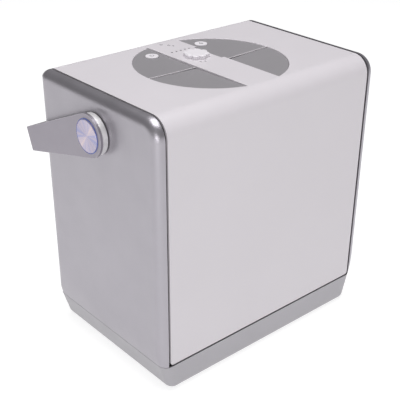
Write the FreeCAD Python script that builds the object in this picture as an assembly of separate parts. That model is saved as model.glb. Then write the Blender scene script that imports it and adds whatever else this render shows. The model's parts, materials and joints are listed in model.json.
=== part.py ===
import FreeCAD, Part
import math
import os

# Cool mist humidifier: a box with a white front-and-top shell between two silver side panels,
# on a silver base tray, with a strip handle pivoted on both sides.
# Frame: +X right, -Y front, +Z up. The origin is on the surface that it stands on, in the middle
# of the whole outline with the handle folded back. Lengths are in millimetres.
# Every function below works in body coordinates, whose Y is measured from the middle of the box.

V = FreeCAD.Vector
X_AXIS = V(1, 0, 0)
Y_AXIS = V(0, 1, 0)
Z_AXIS = V(0, 0, 1)

# box
BODY_W = 300.0
BODY_D = 197.0
FOOT_H = 2.5
TOP_Z = 307.5
FRONT_TOP_R = 20.0
REAR_TOP_R = 14.0
FRONT_Y = -BODY_D / 2
REAR_Y = BODY_D / 2

# side panels: a shallow pan whose lower edge curves inwards to the base seam
PANEL_DEPTH = 10.1
PANEL_FILLET = 9.9
PANEL_T = 1.8
REAR_SIDE_R = 14.0
SEAM_Z = 35.0
CURVE_Z = 65.0
CURVE_R = 127.0

# base tray
TRAY_TOP = 34.4
TRAY_T = 2.5
TRAY_FLOOR = 3.0
TRAY_TAPER = math.radians(16.5)
TRAY_TUCK = 3.8
TRAY_FRONT_R = 10.0
TRAY_REAR_R = 8.5
TRAY_BOTTOM_R = 8.0
POST_X = 126.0
POST_Y = 72.0
INLET_X = 92.0
INLET_Z = 20.0

# white shell and rear cover
SHELL_W = 274.6
SHELL_T = 2.5
SHELL_BOTTOM = 36.7
SHELL_CORNER_R = 3.0
FLANGE_Z = 270.0
CIRCLE_R = 81.7
BAND_HALF = 21.45
RIB_HALF = 0.5
NOTCH_DEPTH = 4.15
NOTCH_Y0 = 2.0
NOTCH_Y1 = 47.0
SLOT_ROWS = 14
SLOT_Z = 72.0
SLOT_PITCH = 6.0
SLOT_X = 27.5
SLOT_LENGTH = 48.0
SLOT_H = 2.6

# side frames
FRAME_INSET = 3.2
FRAME_T = 2.0
FRAME_X0 = 131.5
FRAME_X1 = 134.5
FRAME_RIM_X = 141.0
FRAME_BOTTOM = 36.0

# inlays, fill lids and top deck
INLAY_GAP = 0.15
LID_GAP = 0.35
RIM_R = 0.7
RIM_STEP = 0.8
DISH_SLOPE = 0.0255
LID_BOTTOM = 303.3
DECK_TOP = 303.0
DECK_T = 3.5
DECK_R = 88.0
FILL_R = 72.0
FILL_X = 27.0
FILL_Y = -8.5
BARREL_R = 2.1
HINGE_Y = -RIB_HALF - LID_GAP - BARREL_R
LID_PIN_R = 1.0
RUNNING = 0.05
LID_OUTER_X = math.sqrt((CIRCLE_R - LID_GAP) ** 2 - HINGE_Y ** 2) - 0.4
LUG_OUTER_X = CIRCLE_R + 0.6

# controls
BUTTON_X = 34.5
BUTTON_Y = 55.3
BUTTON_R = 7.3
BUTTON_TOP = 307.0
BUTTON_TRAVEL = 1.0
BOARD_Z = 293.0
BOARD_T = 1.6
LED_Y = 48.8
LED_PITCH = 6.0
LED_COUNT = 5
LENS_R = 1.1

# mist path
MIST_Y = 22.6
NOZZLE_R = 14.0
NOZZLE_H = 4.2
LOBE_COUNT = 8
LOBE_R = 4.2
NECK_R = 10.6
NECK_BORE = 9.0
DUCT_R = 13.0
DUCT_BORE = 11.5
CHIMNEY_R = 15.8
CHIMNEY_BORE = 14.0

# water tank and basin
TANK_X = 105.0
TANK_Y0 = -88.0
TANK_Y1 = 60.0
TANK_Z0 = 90.0
TANK_Z1 = 288.0
TANK_T = 2.5
COVER_Z = TANK_Z1 - TANK_T
FUNNEL_TOP = 299.2
DUCT_TOP = 300.0
BASIN_X0 = -108.0
BASIN_X1 = 40.0
BASIN_Y0 = -84.0
BASIN_Y1 = 64.0
BASIN_Z0 = 44.0
BASIN_T = 3.0
FLOAT_X = -70.0
FLOAT_Y = -30.0
FLOAT_R = 14.0

# blower
FAN_X = 90.0
FAN_Y = 5.0
FAN_R = 26.0
FAN_Z0 = 62.0
FAN_Z1 = 88.0
BLADE_COUNT = 24
IMPELLER_R = 23.5
CUP_R = 12.3
MOTOR_R = 10.3
AIR_Z = 77.0

# handle
PIVOT_Y = -4.0
PIVOT_Z = 268.4
HANDLE_DROP = math.radians(19.3)
ARM_LENGTH = 121.2
ARM_T = 3.0
HUB_R = 22.3
BAR_W = 25.8
SPACER_R = 21.4
SPACER_T = 7.0
SPACER_NECK_R = 16.0
SPACER_NECK = 0.9
ARM_GAP = 7.3
PIN_R = 5.0
CLIP_X = -FRAME_X0 + 2.4
CLIP_T = 1.2
DISC_R = 16.7
RING_R = 17.9
BEND_R = 3.0

# The handle's rear corner and the front face set the middle of the whole outline.
HANDLE_REAR = PIVOT_Y + ARM_LENGTH * math.cos(HANDLE_DROP) + BAR_W / 2 * math.sin(HANDLE_DROP)
BODY_Y = -(HANDLE_REAR + FRONT_Y) / 2


# ---------------------------------------------------------------- helpers

def block(x0, x1, y0, y1, z0, z1):
    return Part.makeBox(x1 - x0, y1 - y0, z1 - z0, V(x0, y0, z0))


def rod(r, x, y, z0, z1):
    return Part.makeCylinder(r, z1 - z0, V(x, y, z0))


def tube(r, bore, x, y, z0, z1):
    return rod(r, x, y, z0, z1).cut(rod(bore, x, y, z0 - 1, z1 + 1))


def x_rod(r, x0, x1, y, z):
    return Part.makeCylinder(r, x1 - x0, V(x0, y, z), X_AXIS)


def y_rod(r, x, y0, y1, z):
    return Part.makeCylinder(r, y1 - y0, V(x, y0, z), Y_AXIS)


def fuse(shapes):
    body = shapes[0].multiFuse(shapes[1:])
    return body.removeSplitter()


def group(shapes):
    return Part.Compound(shapes)


def mirrored(shape):
    return shape.mirror(V(0, 0, 0), X_AXIS)


def round_edges(solid, radius, wanted):
    edges = [edge for edge in solid.Edges if wanted(edge)]
    return solid.makeFillet(radius, edges)


def is_upright(edge):
    box = edge.BoundBox
    return box.ZLength > 1 and box.XLength < 0.01 and box.YLength < 0.01


def rounded_block(x0, x1, y0, y1, z0, z1, radius):
    return round_edges(block(x0, x1, y0, y1, z0, z1), radius, is_upright)


def arc_edge(centre_y, centre_z, radius, start, end, x):
    points = []
    for angle in (start, (start + end) / 2, end):
        a = math.radians(angle)
        points.append(V(x, centre_y + radius * math.cos(a), centre_z + radius * math.sin(a)))
    return Part.Arc(*points).toShape()


def profile_prism(inset, bottom, x0, x1):
    """The box's side outline, moved inwards by inset, extruded from x0 to x1."""
    front = FRONT_Y + inset
    rear = REAR_Y - inset
    top = TOP_Z - inset
    front_r = FRONT_TOP_R - inset
    rear_r = REAR_TOP_R - inset
    edges = [
        Part.makeLine(V(x0, front, bottom), V(x0, front, top - front_r)),
        arc_edge(front + front_r, top - front_r, front_r, 180, 90, x0),
        Part.makeLine(V(x0, front + front_r, top), V(x0, rear - rear_r, top)),
        arc_edge(rear - rear_r, top - rear_r, rear_r, 90, 0, x0),
        Part.makeLine(V(x0, rear, top - rear_r), V(x0, rear, bottom)),
        Part.makeLine(V(x0, rear, bottom), V(x0, front, bottom)),
    ]
    return Part.Face(Part.Wire(edges)).extrude(V(x1 - x0, 0, 0))


# ---------------------------------------------------------------- outer casing

def curved_side(inset):
    """Everything to the right of the left panel's outer line, which curves inwards near the base."""
    x = -BODY_W / 2 + inset
    sweep = math.asin((CURVE_Z - SEAM_Z) / CURVE_R)
    radius = CURVE_R - inset
    mid = V(x + radius * (1 - math.cos(sweep / 2)), 0, CURVE_Z - radius * math.sin(sweep / 2))
    low = V(x + radius * (1 - math.cos(sweep)), 0, CURVE_Z - radius * math.sin(sweep))
    foot = V(low.x + math.tan(sweep) * 2, 0, low.z - 2)
    edges = [
        Part.makeLine(V(0, 0, TOP_Z + 1), V(x, 0, TOP_Z + 1)),
        Part.makeLine(V(x, 0, TOP_Z + 1), V(x, 0, CURVE_Z)),
        Part.Arc(V(x, 0, CURVE_Z), mid, low).toShape(),
        Part.makeLine(low, foot),
        Part.makeLine(foot, V(0, 0, foot.z)),
        Part.makeLine(V(0, 0, foot.z), V(0, 0, TOP_Z + 1)),
    ]
    face = Part.Face(Part.Wire(edges))
    face.translate(V(0, FRONT_Y - 1, 0))
    return face.extrude(V(0, BODY_D + 2, 0))


def rear_rounding(inset):
    """A tall block whose rear left corner is rounded more than the panel's rim."""
    left = -BODY_W / 2 + inset
    rear = REAR_Y - inset
    solid = block(left, 0, FRONT_Y - 1, rear, SEAM_Z - 3, TOP_Z + 1)

    def at_rear_left(edge):
        centre = edge.BoundBox.Center
        return is_upright(edge) and abs(centre.x - left) < 0.01 and abs(centre.y - rear) < 0.01

    return round_edges(solid, REAR_SIDE_R - inset, at_rear_left)


def pan(inset, bottom, fillet):
    """One layer of the left side panel: its outer rim is rounded, down along the curved lower edge."""
    x_outer = -BODY_W / 2 + inset
    x_inner = x_outer + PANEL_DEPTH
    solid = profile_prism(inset, bottom, x_outer, x_inner + 10).common(curved_side(inset))

    def on_outer_rim(edge):
        box = edge.BoundBox
        level = box.ZLength < 0.01 and box.ZMax < CURVE_Z + 1
        return box.XMax < x_outer + 5 and not level

    rounded = round_edges(solid, fillet, on_outer_rim)
    rounded = rounded.common(rear_rounding(inset))
    return rounded.common(block(x_outer - 1, x_inner, FRONT_Y - 1, REAR_Y + 1, bottom, TOP_Z + 1))


def left_side_panel():
    outer = pan(0, SEAM_Z, PANEL_FILLET)
    inner = pan(PANEL_T, SEAM_Z - 1, PANEL_FILLET - PANEL_T)
    hole = x_rod(PIN_R + 0.6, -BODY_W / 2 - 1, -BODY_W / 2 + 5, PIVOT_Y, PIVOT_Z)
    return outer.cut(inner).cut(hole)


def tray_layer(inset, bottom, top):
    """A block with tapered left and right sides and rounded corners and bottom edges."""
    reach = BODY_W / 2 - TRAY_TUCK - inset
    low = reach - (TRAY_TOP - bottom) * math.tan(TRAY_TAPER)
    high = reach + (top - TRAY_TOP) * math.tan(TRAY_TAPER)
    outline = [V(-low, 0, bottom), V(low, 0, bottom), V(high, 0, top), V(-high, 0, top), V(-low, 0, bottom)]
    face = Part.Face(Part.makePolygon(outline))
    face.translate(V(0, FRONT_Y + inset, 0))
    solid = face.extrude(V(0, BODY_D - 2 * inset, 0))
    for radius, y in ((TRAY_FRONT_R, FRONT_Y + inset), (TRAY_REAR_R, REAR_Y - inset)):
        solid = round_edges(solid, radius - inset, lambda e: is_tray_corner(e, y))
    return round_edges(solid, TRAY_BOTTOM_R - inset, lambda e: e.BoundBox.ZMax < bottom + 0.01)


def is_tray_corner(edge, y):
    box = edge.BoundBox
    return box.ZLength > 5 and box.YLength < 0.01 and abs(box.YMin - y) < 0.01


def base_tray():
    outer = tray_layer(0, FOOT_H, TRAY_TOP)
    floor = FOOT_H + TRAY_FLOOR
    inner = tray_layer(TRAY_T, floor, TRAY_TOP + 5)
    tray = outer.cut(inner)
    posts = [rod(5, x, y, floor - 0.5, FRAME_BOTTOM) for x in (-POST_X, POST_X) for y in (-POST_Y, POST_Y)]
    tray = fuse([tray] + posts)
    for x in (-POST_X, POST_X):
        for y in (-POST_Y, POST_Y):
            tray = tray.cut(rod(1.6, x, y, FOOT_H - 1, FRAME_BOTTOM + 1))
            tray = tray.cut(rod(3.2, x, y, FOOT_H - 1, FOOT_H + 2))
    for x, y in foot_places():
        tray = tray.cut(rod(10, x, y, FOOT_H - 1, FOOT_H + 1))
    return tray.cut(inlet_body(0.2))


def foot_places():
    return [(x, y) for x in (-100, 100) for y in (-74, 74)]


def rubber_feet():
    feet = []
    for x, y in foot_places():
        foot = rod(9.7, x, y, 0, FOOT_H + 1)
        feet.append(round_edges(foot, 0.8, lambda e: e.BoundBox.ZMax < 0.01))
    return group(feet)


def front_top_shell():
    half = SHELL_W / 2
    outer = profile_prism(0, SHELL_BOTTOM, -half, half)
    outer = round_edges(outer, SHELL_CORNER_R, is_lower_side_edge)
    inner = profile_prism(SHELL_T, SHELL_BOTTOM - 1, -half - 1, half + 1)
    shell = outer.cut(inner)
    shell = shell.cut(block(-half - 1, half + 1, REAR_Y - 6, REAR_Y + 1, SHELL_BOTTOM - 1, FLANGE_Z))
    shell = shell.cut(circle_openings())
    shell = round_edges(shell, RIM_R, is_opening_rim)
    notch = block(BAND_HALF - NOTCH_DEPTH, BAND_HALF + 1, NOTCH_Y0, NOTCH_Y1, TOP_Z - SHELL_T - 1, TOP_Z + 1)
    shell = shell.cut(notch)
    rib = block(-CIRCLE_R - 1, CIRCLE_R + 1, -RIB_HALF, RIB_HALF, TOP_Z - SHELL_T, TOP_Z)
    shell = fuse([shell, rib.cut(above_dish(0.3))])
    for side in (-1, 1):
        shell = shell.cut(hinge_rod(LID_PIN_R + 0.1, side, CIRCLE_R - 1, LUG_OUTER_X + 2.5))
    shell = shell.cut(rod(NECK_R + 0.08, 0, MIST_Y, TOP_Z - 6, TOP_Z + 1))
    for x in led_places():
        shell = shell.cut(rod(LENS_R + 0.1, x, LED_Y, TOP_Z - 6, TOP_Z + 1))
    return shell


def is_lower_side_edge(edge):
    box = edge.BoundBox
    return box.YLength > BODY_D - 1 and box.ZMax < SHELL_BOTTOM + 0.01


def is_opening_rim(edge):
    box = edge.BoundBox
    return box.ZMin > TOP_Z - 0.01 and abs(box.Center.x) < CIRCLE_R and box.YLength < 2 * CIRCLE_R


def circle_openings():
    """The round opening in the top, less the band across it."""
    z0 = TOP_Z - SHELL_T - 1
    z1 = TOP_Z + 1
    disc = rod(CIRCLE_R, 0, 0, z0, z1)
    return disc.cut(block(-BAND_HALF, BAND_HALF, -100, 100, z0 - 1, z1 + 1))


def rear_cover():
    half = SHELL_W / 2
    cover = block(-half, half, REAR_Y - SHELL_T, REAR_Y, SHELL_BOTTOM, FLANGE_Z - 0.4)
    cover = round_edges(cover, SHELL_CORNER_R, lambda e: e.BoundBox.YLength > 1 and e.BoundBox.ZMax < 50)
    for row in range(SLOT_ROWS):
        z = SLOT_Z + row * SLOT_PITCH
        for side in (-1, 1):
            centre = side * SLOT_X
            cover = cover.cut(slot_cutter(centre, z))
    for x, z in rear_screw_places():
        cover = cover.cut(y_rod(1.7, x, REAR_Y - 10, REAR_Y + 1, z))
        cover = cover.cut(y_rod(3.2, x, REAR_Y - 1.2, REAR_Y + 1, z))
    return cover


def slot_cutter(x, z):
    half = SLOT_LENGTH / 2 - SLOT_H / 2
    bar = block(x - half, x + half, REAR_Y - 5, REAR_Y + 1, z - SLOT_H / 2, z + SLOT_H / 2)
    ends = [y_rod(SLOT_H / 2, x + side * half, REAR_Y - 5, REAR_Y + 1, z) for side in (-1, 1)]
    return fuse([bar] + ends)


def seal_strips():
    """Dark strips behind the gap between the tray and the covers, at the front and the rear."""
    half = FRAME_X0 - 1
    strips = []
    for y0, y1 in ((FRONT_Y + TRAY_T, FRONT_Y + TRAY_T + 1.8), (REAR_Y - TRAY_T - 1.8, REAR_Y - TRAY_T)):
        tall = block(-half, half, y0, y1, TRAY_TOP - 4, SHELL_BOTTOM + 5)
        low = block(-132, 132, y0, y1, TRAY_TOP - 4, FRAME_BOTTOM)
        strips.append(fuse([tall, low]))
    return group(strips)


def rear_screw_places():
    return [(x, z) for x in (-127, 127) for z in (60, 158, 256)]


def rear_screws():
    screws = []
    for x, z in rear_screw_places():
        head = y_rod(3.0, x, REAR_Y - 1.2, REAR_Y - 0.2, z)
        shank = y_rod(1.5, x, REAR_Y - 9, REAR_Y - 1.2, z)
        screws.append(fuse([head, shank]))
    return group(screws)


def left_side_frame():
    rim = profile_prism(FRAME_INSET, FRAME_BOTTOM, -FRAME_RIM_X, -FRAME_X0)
    rim = rim.cut(profile_prism(FRAME_INSET + FRAME_T, FRAME_BOTTOM - 1, -FRAME_RIM_X - 1, -FRAME_X0 + 1))
    plate = profile_prism(FRAME_INSET + 0.5, FRAME_BOTTOM, -FRAME_X1, -FRAME_X0)
    sole = block(-FRAME_X1, -POST_X + 7, -POST_Y - 8, POST_Y + 8, FRAME_BOTTOM, FRAME_BOTTOM + 3)
    boss = x_rod(14, -FRAME_X1 - 4, -FRAME_X0, PIVOT_Y, PIVOT_Z)
    frame = fuse([rim, plate, sole, boss])
    for z in (60, 158, 256):
        lug = block(-FRAME_X0 - 0.5, -FRAME_X0 + 9, REAR_Y - 12, REAR_Y - SHELL_T, z - 5, z + 5)
        frame = fuse([frame, lug])
        frame = frame.cut(y_rod(1.5, -127, REAR_Y - 9, REAR_Y + 1, z))
    for y in (-POST_Y, POST_Y):
        frame = frame.cut(rod(1.5, -POST_X, y, FRAME_BOTTOM - 1, FRAME_BOTTOM + 4))
    window = block(-FRAME_X1 - 1, -FRAME_X0 + 1, -70, 70, 70, 225)
    return frame.cut(window).cut(x_rod(8, -FRAME_X1 - 5, -FRAME_X0 + 1, PIVOT_Y, PIVOT_Z))


def base_screws():
    screws = []
    for x in (-POST_X, POST_X):
        for y in (-POST_Y, POST_Y):
            head = rod(3.0, x, y, FOOT_H + 0.2, FOOT_H + 2)
            shank = rod(1.5, x, y, FOOT_H + 2, FRAME_BOTTOM + 2.5)
            screws.append(fuse([head, shank]))
    return group(screws)


# ---------------------------------------------------------------- top: inlays, lids, deck

def dish_z(radius):
    """Height of the inlays' top at a distance from the middle: they slope down towards the band."""
    return TOP_Z - RIM_STEP - DISH_SLOPE * (CIRCLE_R - radius)


def above_dish(raise_by):
    """Everything above the inlays' sloping top, down to raise_by over it."""
    low = dish_z(0) + raise_by
    high = dish_z(CIRCLE_R + 5) + raise_by
    bowl = Part.makeCone(0, CIRCLE_R + 5, high - low, V(0, 0, low))
    lid = rod(CIRCLE_R + 5, 0, 0, high, high + 5)
    return fuse([bowl, lid])


def hinge_rod(r, side, x0, x1):
    """A rod along a lid's hinge line, which slopes with the inlays, between two distances in X."""
    slope = math.atan(DISH_SLOPE)
    z0 = dish_z(x0) - BARREL_R
    return Part.makeCylinder(r, (x1 - x0) / math.cos(slope), V(side * x0, HINGE_Y, z0),
                             V(side * math.cos(slope), 0, math.sin(slope)))


def inlay(side, front):
    """One grey quadrant: side is -1 left or 1 right, front is True for the two in front."""
    z0 = LID_BOTTOM if front else DECK_TOP
    gap = LID_GAP if front else INLAY_GAP
    disc = rod(CIRCLE_R - gap, 0, 0, z0, TOP_Z + 1)
    x0 = BAND_HALF + gap
    x1 = CIRCLE_R + 1
    y0 = -CIRCLE_R - 1 if front else RIB_HALF + gap
    y1 = -RIB_HALF - gap if front else CIRCLE_R + 1
    sector = block(min(side * x0, side * x1), max(side * x0, side * x1), y0, y1, z0, TOP_Z)
    if side > 0 and not front:
        tab = block(x0 - NOTCH_DEPTH, x0 + 1, NOTCH_Y0 + gap, NOTCH_Y1 - gap, z0, TOP_Z)
        sector = fuse([sector, tab])
    return sector.common(disc).cut(above_dish(0))


def rear_inlay(side):
    plate = inlay(side, False)
    return plate.cut(rod(BUTTON_R + 0.35, side * BUTTON_X, BUTTON_Y, DECK_TOP - 1, TOP_Z + 1))


def fill_lid(side):
    """A front quadrant that turns on a barrel along the rib."""
    plate = inlay(side, True)
    behind_axis = block(-CIRCLE_R, CIRCLE_R, HINGE_Y, 0, LID_BOTTOM - 5, TOP_Z + 1)
    plate = plate.cut(behind_axis)
    inner_x = BAND_HALF + LID_GAP + 0.2
    barrel = hinge_rod(BARREL_R, side, inner_x, LID_OUTER_X)
    lid = fuse([plate, barrel])
    return lid.cut(hinge_rod(LID_PIN_R + RUNNING, side, inner_x - 1, LID_OUTER_X + 1))


def lid_pin(side):
    return hinge_rod(LID_PIN_R, side, BAND_HALF - 3.4, LUG_OUTER_X + 2.4)


def lid_pins():
    return group([lid_pin(-1), lid_pin(1)])


def fill_sector(side, grow, z0, z1):
    """The quarter-round hole under a fill lid, or with grow the outside of the neck around it."""
    disc = rod(FILL_R + grow, 0, 0, z0, z1)
    x0, x1 = sorted((side * (FILL_X - grow), side * (FILL_R + grow)))
    return disc.common(block(x0, x1, -FILL_R - grow, FILL_Y + grow, z0, z1))


def top_deck():
    z0 = DECK_TOP - DECK_T
    plate = rod(DECK_R, 0, 0, z0, DECK_TOP)
    wall = tube(DECK_R, DECK_R - 4, 0, 0, DECK_TOP - 0.5, TOP_Z - SHELL_T)
    parts = [plate, wall]
    for side in (-1, 1):
        for x in (BAND_HALF - 3.9, LUG_OUTER_X):
            x0, x1 = sorted((side * x, side * (x + 3.5)))
            parts.append(block(x0, x1, HINGE_Y - 2.5, HINGE_Y + 2.2, DECK_TOP - 0.5, TOP_Z - SHELL_T))
    deck = fuse(parts).common(profile_prism(SHELL_T, 280, -DECK_R - 1, DECK_R + 1))
    for side in (-1, 1):
        deck = deck.cut(fill_sector(side, 0, z0 - 1, DECK_TOP + 1))
        deck = deck.cut(hinge_rod(BARREL_R + 0.4, side, BAND_HALF + 0.1, LUG_OUTER_X - 0.3))
        deck = deck.cut(lid_pin(side))
        deck = deck.cut(rod(3.2, side * BUTTON_X, BUTTON_Y, z0 - 1, DECK_TOP + 1))
    for x in led_places():
        deck = deck.cut(rod(LENS_R + 0.1, x, LED_Y, z0 - 1, DECK_TOP + 1))
    return deck.cut(rod(DUCT_R + 2.2, 0, MIST_Y, z0 - 1, DECK_TOP + 1))


# ---------------------------------------------------------------- controls

def led_places():
    first = -LED_PITCH * (LED_COUNT - 1) / 2
    return [first + LED_PITCH * i for i in range(LED_COUNT)]


def push_button(side):
    cap = rod(BUTTON_R, side * BUTTON_X, BUTTON_Y, BUTTON_TOP - 2.6, BUTTON_TOP)
    cap = round_edges(cap, 0.6, lambda e: e.BoundBox.ZMin > BUTTON_TOP - 0.01)
    stem_bottom = BOARD_Z + BOARD_T + 4.3 + BUTTON_TRAVEL + 0.3
    stem = rod(2.5, side * BUTTON_X, BUTTON_Y, stem_bottom, BUTTON_TOP - 2.5)
    return fuse([cap, stem])


def control_board():
    board = rounded_block(-48, 48, 38, 82, BOARD_Z, BOARD_Z + BOARD_T, 3)
    top = BOARD_Z + BOARD_T
    parts = [board]
    for side in (-1, 1):
        x = side * BUTTON_X
        parts.append(block(x - 3, x + 3, BUTTON_Y - 3, BUTTON_Y + 3, top - 0.2, top + 3.5))
        parts.append(rod(1.7, x, BUTTON_Y, top + 3.3, top + 4.3))
    for x in led_places():
        parts.append(block(x - 1.2, x + 1.2, LED_Y - 1.2, LED_Y + 1.2, top - 0.2, top + 1.6))
    parts.append(block(-12, 8, 60, 70, top - 0.2, top + 2))
    parts.append(block(2, 24, 73, 78, BOARD_Z - 3, BOARD_Z + 0.2))
    return fuse(parts)


def indicator_lenses():
    bottom = BOARD_Z + BOARD_T + 2.0
    return group([rod(LENS_R, x, LED_Y, bottom, TOP_Z - 0.4) for x in led_places()])


def control_ribbon():
    """Flat cable: down behind the tank, then forwards to the driver board."""
    y_back = 74.0
    z_low = 19.0
    t = 0.8
    bend = 6.0
    z_top = BOARD_Z - 3.0
    outer = ribbon_edge(y_back + t, z_top, z_low - t, bend + t, 44.0)
    inner = ribbon_edge(y_back, z_top, z_low, bend, 44.0)
    wire = outer + [Part.makeLine(V(0, 44.0, z_low - t), V(0, 44.0, z_low))]
    wire = wire + inner + [Part.makeLine(V(0, y_back, z_top), V(0, y_back + t, z_top))]
    face = Part.Face(Part.Wire(Part.__sortEdges__(wire)))
    face.translate(V(5, 0, 0))
    return face.extrude(V(16, 0, 0))


def ribbon_edge(y, z_top, z_low, bend, y_end):
    return [
        Part.makeLine(V(0, y, z_top), V(0, y, z_low + bend)),
        arc_edge(y - bend, z_low + bend, bend, 0, -90, 0),
        Part.makeLine(V(0, y - bend, z_low), V(0, y_end, z_low)),
    ]


# ---------------------------------------------------------------- mist path

def mist_nozzle():
    """A lobed cap on a neck that turns in the band; the mist leaves by a slot at its rear."""
    z0 = TOP_Z + 0.3
    z1 = TOP_Z + NOZZLE_H
    lobe_circle = NOZZLE_R - LOBE_R
    parts = [rod(lobe_circle + 1.6, 0, MIST_Y, z0, z1)]
    for i in range(LOBE_COUNT):
        angle = 2 * math.pi * i / LOBE_COUNT
        x = lobe_circle * math.cos(angle)
        y = MIST_Y + lobe_circle * math.sin(angle)
        parts.append(rod(LOBE_R, x, y, z0, z1))
    cap = fuse(parts)
    cap = round_edges(cap, 1.3, lambda e: e.BoundBox.ZMin > z1 - 0.01)
    neck = rod(NECK_R, 0, MIST_Y, TOP_Z - 5.8, z0 + 0.5)
    lip = rod(NECK_R + 0.6, 0, MIST_Y, TOP_Z - SHELL_T - 1.8, TOP_Z - SHELL_T - 0.4)
    nozzle = fuse([cap, neck, lip])
    nozzle = nozzle.cut(rod(NECK_BORE, 0, MIST_Y, TOP_Z - 7, z1 - 1.4))
    slot = block(-6, 6, MIST_Y, MIST_Y + NOZZLE_R + 1, z0 + 0.9, z1 - 1.4)
    return nozzle.cut(slot)


def mist_duct():
    return tube(DUCT_R, DUCT_BORE, 0, MIST_Y, 84, DUCT_TOP)


def duct_gasket():
    return tube(DUCT_R + 2, DUCT_R, 0, MIST_Y, DUCT_TOP - 2, TOP_Z - SHELL_T)


def mist_hood():
    """A cone over the transducer that catches the mist, with a side port for the air."""
    section = [V(34, 0, 54), V(22, 0, 88), V(DUCT_R, 0, 88), V(DUCT_R, 0, 86), V(20, 0, 86), V(31.3, 0, 54)]
    face = Part.Face(Part.makePolygon(section + [section[0]]))
    hood = face.revolve(V(0, 0, 0), Z_AXIS, 360)
    hood.translate(V(0, MIST_Y, 0))
    legs = []
    for i in range(3):
        angle = math.radians(35 + 120 * i)
        legs.append(rod(2.4, 30.2 * math.cos(angle), MIST_Y + 30.2 * math.sin(angle), 47, 58))
    hood = fuse([hood] + legs)
    return hood.cut(x_rod(7, 5, 45, MIST_Y, AIR_Z))


def air_duct():
    outer = x_rod(7, 21, 56.5, MIST_Y, AIR_Z)
    return outer.cut(x_rod(5.5, 20, 58, MIST_Y, AIR_Z))


# ---------------------------------------------------------------- water

def water_tank():
    """An open tub with an outlet underneath and a hole for the tube that the mist duct passes through."""
    outer = rounded_block(-TANK_X, TANK_X, TANK_Y0, TANK_Y1, TANK_Z0, COVER_Z, 12)
    inner = rounded_block(-TANK_X + TANK_T, TANK_X - TANK_T, TANK_Y0 + TANK_T, TANK_Y1 - TANK_T,
                          TANK_Z0 + TANK_T, COVER_Z + 1, 12 - TANK_T)
    tank = fuse([outer.cut(inner), rod(8, FLOAT_X, FLOAT_Y, 82, TANK_Z0 + 1)])
    tank = tank.cut(rod(CHIMNEY_R, 0, MIST_Y, TANK_Z0 - 1, TANK_Z0 + TANK_T + 1))
    return tank.cut(rod(5.5, FLOAT_X, FLOAT_Y, 80, TANK_Z0 + TANK_T + 1))


def tank_cover():
    """The welded top of the tank, with two fill openings."""
    cover = rounded_block(-TANK_X, TANK_X, TANK_Y0, TANK_Y1, COVER_Z, TANK_Z1, 12)
    for side in (-1, 1):
        cover = cover.cut(fill_sector(side, 0, COVER_Z - 1, TANK_Z1 + 1))
    return cover.cut(rod(CHIMNEY_R, 0, MIST_Y, COVER_Z - 1, TANK_Z1 + 1))


def tank_tube():
    return tube(CHIMNEY_R, CHIMNEY_BORE, 0, MIST_Y, TANK_Z0, TANK_Z1)


def fill_funnel(side):
    """The quarter-round collar that leads the water from the top deck into the tank."""
    outer = fill_sector(side, 2.0, TANK_Z1, FUNNEL_TOP)
    return outer.cut(fill_sector(side, 0, TANK_Z1 - 1, FUNNEL_TOP + 1))


def fill_funnels():
    return group([fill_funnel(-1), fill_funnel(1)])


def valve_seat():
    return tube(8, 4.5, FLOAT_X, FLOAT_Y, 80, 82)


def water_basin():
    outer = rounded_block(BASIN_X0, BASIN_X1, BASIN_Y0, BASIN_Y1, BASIN_Z0, TANK_Z0, 8)
    inner = rounded_block(BASIN_X0 + BASIN_T, BASIN_X1 - BASIN_T, BASIN_Y0 + BASIN_T, BASIN_Y1 - BASIN_T,
                          BASIN_Z0 + BASIN_T, TANK_Z0 + 1, 5)
    basin = outer.cut(inner)
    floor = BASIN_Z0 + BASIN_T
    parts = [basin, rod(3.3, FLOAT_X, FLOAT_Y, floor - 0.5, 62), rod(6, FLOAT_X, FLOAT_Y, floor - 0.5, 49.7)]
    for x in (BASIN_X0 + 8, BASIN_X1 - 8):
        for y in (BASIN_Y0 + 8, BASIN_Y1 - 8):
            parts.append(rod(4, x, y, FOOT_H + TRAY_FLOOR, BASIN_Z0 + 0.5))
    basin = fuse(parts)
    basin = basin.cut(rod(12.5, 0, MIST_Y, BASIN_Z0 - 1, floor + 1))
    return basin.cut(x_rod(7, BASIN_X1 - 10, BASIN_X1 + 5, MIST_Y, AIR_Z))


def float_valve():
    body = rod(FLOAT_R, FLOAT_X, FLOAT_Y, 50, 66)
    body = round_edges(body, 2, lambda e: e.BoundBox.ZLength < 0.01 and e.BoundBox.XLength > 20)
    plug = Part.makeCone(6.5, 3.5, 5, V(FLOAT_X, FLOAT_Y, 66))
    valve = fuse([body, plug])
    return valve.cut(rod(3.38, FLOAT_X, FLOAT_Y, 49, 64))


def transducer():
    return rod(10, 0, MIST_Y, 45, 46.2)


def transducer_seal():
    ring = tube(12.5, 8.5, 0, MIST_Y, BASIN_Z0, BASIN_Z0 + BASIN_T)
    return ring.cut(transducer())


def retaining_ring():
    ring = tube(18, 8.5, 0, MIST_Y, BASIN_Z0 - 2.5, BASIN_Z0)
    for i in range(3):
        angle = math.radians(90 + 120 * i)
        x = 15.2 * math.cos(angle)
        y = MIST_Y + 15.2 * math.sin(angle)
        ring = ring.cut(rod(1.4, x, y, BASIN_Z0 - 4, BASIN_Z0 + 1))
    return ring


# ---------------------------------------------------------------- electronics

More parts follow.
